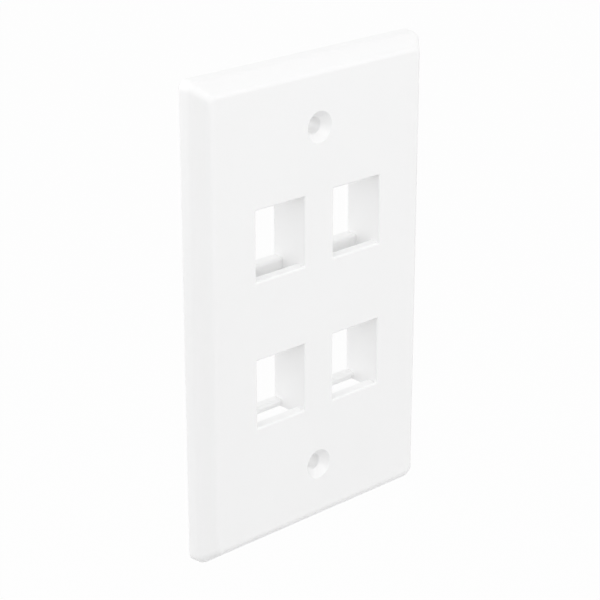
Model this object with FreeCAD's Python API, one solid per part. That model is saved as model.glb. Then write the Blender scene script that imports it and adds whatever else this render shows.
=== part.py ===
import FreeCAD, Part
import math
import os

V = FreeCAD.Vector

# Single-gang keystone wall plate for four jacks, moulded in one piece. Millimetres.
# X runs to the right, Z up and the face looks along -Y. The rim that meets the wall lies on Y = 0.

# Plate
plate_width = 70.0
plate_height = 115.0
plate_depth = 6.5            # rim to face
face_thickness = 2.6
side_thickness = 2.0

# Outer edge: a drafted wall, a soft bevel and the face, seen in section
wall_rise = 3.05             # height at which wall and bevel would meet if they were sharp
wall_draft = 0.1
bevel_width = 3.1
low_round = 2.8              # radius between wall and bevel
top_round = 1.7              # radius between bevel and face
rim_corner_radius = 2.2
face_corner_radius = 1.4
cavity_corner_radius = 1.6

# Keystone ports, in rows and columns about the centre of the plate
port_columns = 2
port_rows = 2
column_pitch = 23.7
row_pitch = 35.8
port_width = 14.7
port_height = 16.7
port_edge_round = 0.45

# What holds a jack behind each port
tunnel_reach = 3.9           # how far the tunnel walls stand behind the rim
tunnel_wall_root = 1.9
tunnel_wall_tip = 1.5
latch_space = 4.0            # room above a port for the jack's spring latch
latch_ledge = 4.0            # face to the back of the ledge that the latch passes
latch_ledge_height = 2.2
latch_bar_thickness = 1.7    # bar above a port, behind which the spring latch snaps
latch_bar_height = 2.0
catch_thickness = 2.8        # bar below a port, over which the foot of the jack hooks
catch_nose_round = 0.7
catch_rise = 0.3             # top of that bar above the floor of the port
catch_height = 2.0
catch_foot = 1.7             # its thickness at the bottom, where the front slopes back
upper_catch_height = 5.0     # between two rows it is taller and its front is upright

# Screw holes for No. 6 oval-head screws
screw_spacing = 83.34
screw_hole_radius = 2.0
countersink_radius = 3.7
countersink_angle = 82.0
boss_root_radius = 4.6
boss_tip_radius = 4.1

# Stiffening rib across the back
cross_rib_thickness = 1.4
cross_rib_drop = 1.2         # how far it stays below the rim

# Worked out from the sizes above
bevel_rise = plate_depth - wall_rise
bevel_angle = math.atan2(bevel_rise, bevel_width)
low_tangent = low_round * math.tan((math.pi / 2 - bevel_angle) / 2)
top_tangent = top_round * math.tan(bevel_angle / 2)
full_inset = wall_draft + bevel_width + top_tangent
face_back = face_thickness - plate_depth
top_port_edge = (port_rows - 1) * row_pitch / 2 + port_height / 2
arc_steps = 4
overlap = 0.4                # how far fused features run into each other


def column_centres():
    return [(i - (port_columns - 1) / 2) * column_pitch for i in range(port_columns)]


def row_centres():
    return [(i - (port_rows - 1) / 2) * row_pitch for i in range(port_rows)]


def box(x, y, z):
    """Box from three (low, high) pairs."""
    return Part.makeBox(x[1] - x[0], y[1] - y[0], z[1] - z[0], V(x[0], y[0], z[0]))


def outline(inset, height, radius):
    """Rounded rectangle, parallel to the rim and set in from its outline."""
    a = plate_width / 2 - inset
    b = plate_height / 2 - inset
    k = radius * (1 - math.sqrt(0.5))
    y = -height
    edges = []
    for sx, sz in ((1, 1), (-1, 1), (-1, -1), (1, -1)):
        side = V(sx * a, y, sz * (b - radius))
        middle = V(sx * (a - k), y, sz * (b - k))
        end = V(sx * (a - radius), y, sz * b)
        points = (side, middle, end) if sx == sz else (end, middle, side)
        edges.append(Part.Arc(*points).toShape())
    lines = []
    for first, second in zip(edges, edges[1:] + edges[:1]):
        lines.append(Part.makeLine(first.lastVertex().Point, second.firstVertex().Point))
    ring = [edge for pair in zip(edges, lines) for edge in pair]
    return Part.Wire(ring)


def outer_section(inset, height):
    share = inset / full_inset
    radius = rim_corner_radius + (face_corner_radius - rim_corner_radius) * share
    return outline(inset, height, radius)


def arc_sections(centre, radius, start, end):
    """Outlines along a round of the edge, by the angle of its normal."""
    sections = []
    for i in range(arc_steps + 1):
        angle = start + (end - start) * i / arc_steps
        inset = centre[0] - radius * math.cos(angle)
        height = centre[1] + radius * math.sin(angle)
        sections.append(outer_section(inset, height))
    return sections


def outer_form():
    """Solid block with the outer shape of the plate, lofted from rim to face."""
    low_centre = (wall_draft + low_round, wall_rise - low_tangent)
    top_centre = (full_inset, plate_depth - top_round)
    turn = math.pi / 2 - bevel_angle
    low_arc = arc_sections(low_centre, low_round, 0, turn)
    top_arc = arc_sections(top_centre, top_round, turn, math.pi / 2)
    slabs = [
        Part.makeLoft([outer_section(0, 0), low_arc[0]], True, True),
        Part.makeLoft(low_arc, True, False),
        Part.makeLoft([low_arc[-1], top_arc[0]], True, True),
        Part.makeLoft(top_arc, True, False),
    ]
    return slabs[0].multiFuse(slabs[1:]).removeSplitter()


def cavity():
    """Hollow behind the face, parallel to the wall and the bevel."""
    slant = side_thickness / math.cos(bevel_angle)
    start = wall_rise + side_thickness * math.tan(bevel_angle) - slant
    depth = plate_depth - face_thickness
    end_inset = (depth - wall_rise + slant) / math.tan(bevel_angle)
    mouth = outline(side_thickness, -overlap, cavity_corner_radius)
    shoulder = outline(side_thickness, start, cavity_corner_radius)
    floor = outline(end_inset, depth, cavity_corner_radius)
    straight = Part.makeLoft([mouth, shoulder], True, True)
    return straight.fuse(Part.makeLoft([shoulder, floor], True, True))


def tunnel_walls():
    """Drafted walls beside each column of ports, one pair to a column."""
    low = -top_port_edge + catch_rise - catch_height
    high = top_port_edge + latch_space
    walls = []
    for centre in column_centres():
        for side in (-1, 1):
            inner = centre + side * port_width / 2
            root = inner + side * tunnel_wall_root
            tip = inner + side * tunnel_wall_tip
            corners = [V(inner, face_back - overlap, low), V(root, face_back - overlap, low),
                       V(tip, tunnel_reach, low), V(inner, tunnel_reach, low)]
            section = Part.Face(Part.makePolygon(corners + corners[:1]))
            walls.append(section.extrude(V(0, 0, high - low)))
    return walls


def catch(across, top, height, foot):
    """Bar below a port with a rounded nose; its front slopes back down to the given foot."""
    front = tunnel_reach - catch_thickness
    bottom = top - height
    corners = [V(across[0], tunnel_reach, top), V(across[0], front, top),
               V(across[0], tunnel_reach - foot, bottom), V(across[0], tunnel_reach, bottom)]
    section = Part.Face(Part.makePolygon(corners + corners[:1]))
    bar = section.extrude(V(across[1] - across[0], 0, 0))
    nose = [edge for edge in bar.Edges
            if all(V(0, v.Y, v.Z).distanceToPoint(V(0, front, top)) < 0.01 for v in edge.Vertexes)]
    return bar.makeFillet(catch_nose_round, nose)


def port_holders(centre, row, is_lowest):
    """Catch, latch bar and latch ledge of one port."""
    across = (centre - port_width / 2 - overlap, centre + port_width / 2 + overlap)
    floor = row - port_height / 2
    roof = row + port_height / 2
    height = catch_height if is_lowest else upper_catch_height
    foot = catch_foot if is_lowest else catch_thickness
    latch_bar = (roof + latch_space - latch_bar_height, roof + latch_space)
    ledge = (face_back - overlap, latch_ledge - plate_depth)
    return [
        catch(across, floor + catch_rise, height, foot),
        box(across, (tunnel_reach - latch_bar_thickness, tunnel_reach), latch_bar),
        box(across, ledge, (roof, roof + latch_ledge_height)),
    ]


def port_opening(centre, row):
    """Cutter for the window of one port, with its front edge rounded over."""
    x = (centre - port_width / 2, centre + port_width / 2)
    z = (row - port_height / 2, row + port_height / 2)
    window = box(x, (-plate_depth - overlap, face_back + overlap), z)
    r = port_edge_round
    flare_x = (x[0] - r, x[1] + r)
    flare_z = (z[0] - r, z[1] + r)
    flare = box(flare_x, (-plate_depth, -plate_depth + r), flare_z)
    for side in (-1, 1):
        upright = V(centre + side * (port_width / 2 + r), -plate_depth + r, flare_z[0])
        flare = flare.cut(Part.makeCylinder(r, flare_z[1] - flare_z[0], upright, V(0, 0, 1)))
        level = V(flare_x[0], -plate_depth + r, row + side * (port_height / 2 + r))
        flare = flare.cut(Part.makeCylinder(r, flare_x[1] - flare_x[0], level, V(1, 0, 0)))
    return window.fuse(flare)


def screw_boss(z):
    length = -face_back + overlap
    start = V(0, face_back - overlap, z)
    return Part.makeCone(boss_root_radius, boss_tip_radius, length, start, V(0, 1, 0))


def screw_hole(z):
    """Clearance hole with a countersink in the face."""
    sink = (countersink_radius - screw_hole_radius) / math.tan(math.radians(countersink_angle / 2))
    front = V(0, -plate_depth, z)
    hole = Part.makeCylinder(screw_hole_radius, plate_depth + overlap, front, V(0, 1, 0))
    return hole.fuse(Part.makeCone(countersink_radius, screw_hole_radius, sink, front, V(0, 1, 0)))


def cross_rib():
    reach = plate_width / 2 - side_thickness + overlap
    half = cross_rib_thickness / 2
    return box((-reach, reach), (face_back - overlap, -cross_rib_drop), (-half, half))


def faceplate():
    rows = row_centres()
    screws = (-screw_spacing / 2, screw_spacing / 2)
    added = tunnel_walls() + [cross_rib()] + [screw_boss(z) for z in screws]
    cutters = [screw_hole(z) for z in screws]
    for centre in column_centres():
        for row in rows:
            added += port_holders(centre, row, row == rows[0])
            cutters.append(port_opening(centre, row))
    plate = outer_form().cut(cavity()).multiFuse(added)
    return plate.cut(cutters).removeSplitter()


os.makedirs("parts", exist_ok=True)
plate = faceplate()
print("faceplate", plate.isValid(), len(plate.Solids), round(plate.Volume, 1), plate.BoundBox)
plate.exportStep("parts/faceplate.step")
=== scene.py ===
import bpy
import math
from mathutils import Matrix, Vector


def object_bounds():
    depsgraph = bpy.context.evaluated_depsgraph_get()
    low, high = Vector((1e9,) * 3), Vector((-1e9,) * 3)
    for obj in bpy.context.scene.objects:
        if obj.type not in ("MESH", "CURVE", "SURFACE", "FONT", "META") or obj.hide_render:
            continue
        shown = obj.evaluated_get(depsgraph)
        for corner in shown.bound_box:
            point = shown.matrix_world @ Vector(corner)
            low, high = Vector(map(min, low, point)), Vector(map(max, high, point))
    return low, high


# A white single-gang keystone plate in a plain bright studio. Metres, +Z up, the face looks along -Y.

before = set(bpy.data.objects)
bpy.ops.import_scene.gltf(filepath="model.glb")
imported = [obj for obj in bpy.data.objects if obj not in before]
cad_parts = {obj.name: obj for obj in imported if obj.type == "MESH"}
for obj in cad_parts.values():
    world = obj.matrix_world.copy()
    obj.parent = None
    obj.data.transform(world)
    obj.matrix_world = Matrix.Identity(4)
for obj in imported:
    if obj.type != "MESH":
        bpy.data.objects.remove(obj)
cadLow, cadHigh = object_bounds()
plainWhite = (1, 1, 1, 1)
print("frame loaded")


def addNode(tree, kind, inputs=None, **fields):
    # One node, with its fields and unlinked input values set by name
    node = tree.nodes.new(kind)
    for name, value in fields.items():
        setattr(node, name, value)
    for name, value in (inputs or {}).items():
        node.inputs[name].default_value = value
    return node


def lookAt(thing, place, target):
    # Puts a camera or a lamp in its place and turns it towards the target
    thing.location = place
    thing.rotation_mode = "QUATERNION"
    thing.rotation_quaternion = (Vector(target) - Vector(place)).to_track_quat("-Z", "Y")


cameraView = {
    "lens": 118.7,           # on a 36 mm sensor
    "azimuth": -42.94,       # degrees round from the front, negative to the left
    "elevation": 21.4,
    "distance": 0.4604,
    "aimUp": -0.0015,        # how far above the centre of the plate it aims, as the picture stands
    "clipStart": 0.01,
}


def makeCamera(view):
    azimuth = math.radians(view["azimuth"])
    elevation = math.radians(view["elevation"])
    level = math.cos(elevation)
    back = Vector((math.sin(azimuth) * level, -math.cos(azimuth) * level, math.sin(elevation)))
    side = Vector((-back.y, back.x, 0)).normalized()
    target = back.cross(side) * view["aimUp"]
    data = bpy.data.cameras.new("camera")
    data.lens = view["lens"]
    data.clip_start = view["clipStart"]
    camera = bpy.data.objects.new("camera", data)
    bpy.context.scene.collection.objects.link(camera)
    lookAt(camera, target + back * view["distance"], target)
    bpy.context.scene.camera = camera


makeCamera(cameraView)
print("camera placed")


plastic = {
    "paleColour": (0.938, 0.938, 0.938, 1),   # the two tones that the moulding drifts between
    "deepColour": (0.914, 0.914, 0.914, 1),
    "driftScale": 45.0,                       # patches about two centimetres across
    "driftDetail": 2.0,
    "roughLow": 0.27,
    "roughHigh": 0.4,
    "roughScale": 300.0,                      # patches a few millimetres across
    "roughDetail": 3.0,
    "grainScale": 2600.0,                     # pits under half a millimetre
    "grainDetail": 2.0,
    "grainStrength": 0.3,
    "grainDepth": 0.00002,
    "scatter": 0.2,                           # light that enters the plastic and comes out beside
    "scatterDepth": 0.0005,
    "scatterReach": (1.0, 1.0, 1.0),          # the same for red, green and blue
    "refraction": 1.5,
}


def addNoise(tree, place, scale, detail):
    # Noise fixed to the plate, with its scale in steps to the metre
    noise = addNode(tree, "ShaderNodeTexNoise", {"Scale": scale, "Detail": detail})
    tree.links.new(place.outputs["Object"], noise.inputs["Vector"])
    return noise.outputs["Fac"]


def makePlastic(values):
    # White moulded plastic with a slow drift of tone, patchy gloss, a fine grain and some depth to the light
    material = bpy.data.materials.new("whitePlastic")
    material.use_nodes = True
    tree = material.node_tree
    links = tree.links
    shader = tree.nodes["Principled BSDF"]
    shader.inputs["IOR"].default_value = values["refraction"]
    shader.inputs["Subsurface Weight"].default_value = values["scatter"]
    shader.inputs["Subsurface Radius"].default_value = values["scatterReach"]
    shader.inputs["Subsurface Scale"].default_value = values["scatterDepth"]
    place = addNode(tree, "ShaderNodeTexCoord")
    drift = addNoise(tree, place, values["driftScale"], values["driftDetail"])
    patches = addNoise(tree, place, values["roughScale"], values["roughDetail"])
    grain = addNoise(tree, place, values["grainScale"], values["grainDetail"])
    tone = addNode(tree, "ShaderNodeMix", data_type="RGBA")
    tone.inputs["A"].default_value = values["deepColour"]
    tone.inputs["B"].default_value = values["paleColour"]
    gloss = addNode(tree, "ShaderNodeMapRange", {"To Min": values["roughLow"], "To Max": values["roughHigh"]})
    bump = addNode(tree, "ShaderNodeBump")
    bump.inputs["Strength"].default_value = values["grainStrength"]
    bump.inputs["Distance"].default_value = values["grainDepth"]
    links.new(drift, tone.inputs["Factor"])
    links.new(tone.outputs["Result"], shader.inputs["Base Color"])
    links.new(patches, gloss.inputs["Value"])
    links.new(gloss.outputs["Result"], shader.inputs["Roughness"])
    links.new(grain, bump.inputs["Height"])
    links.new(bump.outputs["Normal"], shader.inputs["Normal"])
    return material


whitePlastic = makePlastic(plastic)
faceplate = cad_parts["faceplate"]
faceplate.data.materials.clear()
faceplate.data.materials.append(whitePlastic)
print("plastic made")


studio = {
    "floorDrop": 0.6,        # below the lower edge of the plate, which hangs free of it
    "floorSize": 6.0,
    "floorColour": (0.65, 0.65, 0.65, 1),
    "floorRoughness": 0.8,
    "floorGlow": 0.97,       # share of plain white in the floor as the camera sees it
    "worldStrength": 0.71,   # even light on the plate from all round
}

lamps = {
    "frontLamp": {"place": (0.0, -1.2, 0.3), "size": 1.4, "power": 2.8},
    "frontRightLamp": {"place": (0.8, -0.8, 0.2), "size": 1.0, "power": 1.7},
    "frontLeftLamp": {"place": (-0.7, -0.7, 0.9), "size": 1.0, "power": 3.8},
    "backLamp": {"place": (0.0, 1.2, 0.3), "size": 1.4, "power": 2.0},
    "backLeftLamp": {"place": (-0.8, 0.8, 0.4), "size": 1.6, "power": 5.8},
}


def seenDirectly(tree, share):
    # Mask of the rays that show the background: straight from the camera, in gloss or through glass
    path = addNode(tree, "ShaderNodeLightPath")
    either = addNode(tree, "ShaderNodeMath", operation="MAXIMUM")
    anyOfThree = addNode(tree, "ShaderNodeMath", operation="MAXIMUM")
    scaled = addNode(tree, "ShaderNodeMath", {1: share}, operation="MULTIPLY")
    tree.links.new(path.outputs["Is Camera Ray"], either.inputs[0])
    tree.links.new(path.outputs["Is Glossy Ray"], either.inputs[1])
    tree.links.new(either.outputs[0], anyOfThree.inputs[0])
    tree.links.new(path.outputs["Is Transmission Ray"], anyOfThree.inputs[1])
    tree.links.new(anyOfThree.outputs[0], scaled.inputs[0])
    return scaled.outputs[0]


def makeFloor(values):
    # Pale floor that takes the shadow, and looks nearly plain white to the camera
    half = values["floorSize"] / 2
    z = cadLow.z - values["floorDrop"]
    mesh = bpy.data.meshes.new("floor")
    corners = [(-half, -half, z), (half, -half, z), (half, half, z), (-half, half, z)]
    mesh.from_pydata(corners, [], [(0, 1, 2, 3)])
    floor = bpy.data.objects.new("floor", mesh)
    bpy.context.scene.collection.objects.link(floor)
    material = bpy.data.materials.new("paleFloor")
    material.use_nodes = True
    tree = material.node_tree
    shader = tree.nodes["Principled BSDF"]
    shader.inputs["Base Color"].default_value = values["floorColour"]
    shader.inputs["Roughness"].default_value = values["floorRoughness"]
    white = addNode(tree, "ShaderNodeEmission", {"Color": plainWhite, "Strength": 1.0})
    pick = addNode(tree, "ShaderNodeMixShader")
    tree.links.new(seenDirectly(tree, values["floorGlow"]), pick.inputs[0])
    tree.links.new(shader.outputs[0], pick.inputs[1])
    tree.links.new(white.outputs[0], pick.inputs[2])
    tree.links.new(pick.outputs[0], tree.nodes["Material Output"].inputs["Surface"])
    mesh.materials.append(material)


def makeLamp(name, values):
    data = bpy.data.lights.new(name, "AREA")
    data.size = values["size"]
    data.energy = values["power"]
    lamp = bpy.data.objects.new(name, data)
    bpy.context.scene.collection.objects.link(lamp)
    lookAt(lamp, values["place"], (0, 0, 0))


def makeWorld(values):
    # Even light on the plate, and plain white wherever the background is seen
    world = bpy.data.worlds.new("studio")
    bpy.context.scene.world = world
    world.use_nodes = True
    tree = world.node_tree
    tree.nodes.clear()
    fill = addNode(tree, "ShaderNodeBackground", {"Color": plainWhite, "Strength": values["worldStrength"]})
    white = addNode(tree, "ShaderNodeBackground", {"Color": plainWhite, "Strength": 1.0})
    pick = addNode(tree, "ShaderNodeMixShader")
    out = addNode(tree, "ShaderNodeOutputWorld")
    tree.links.new(seenDirectly(tree, 1.0), pick.inputs[0])
    tree.links.new(fill.outputs[0], pick.inputs[1])
    tree.links.new(white.outputs[0], pick.inputs[2])
    tree.links.new(pick.outputs[0], out.inputs[0])


makeFloor(studio)
for lampName, lampValues in lamps.items():
    makeLamp(lampName, lampValues)
makeWorld(studio)
bpy.context.scene.view_settings.view_transform = "Standard"
print("studio lit")
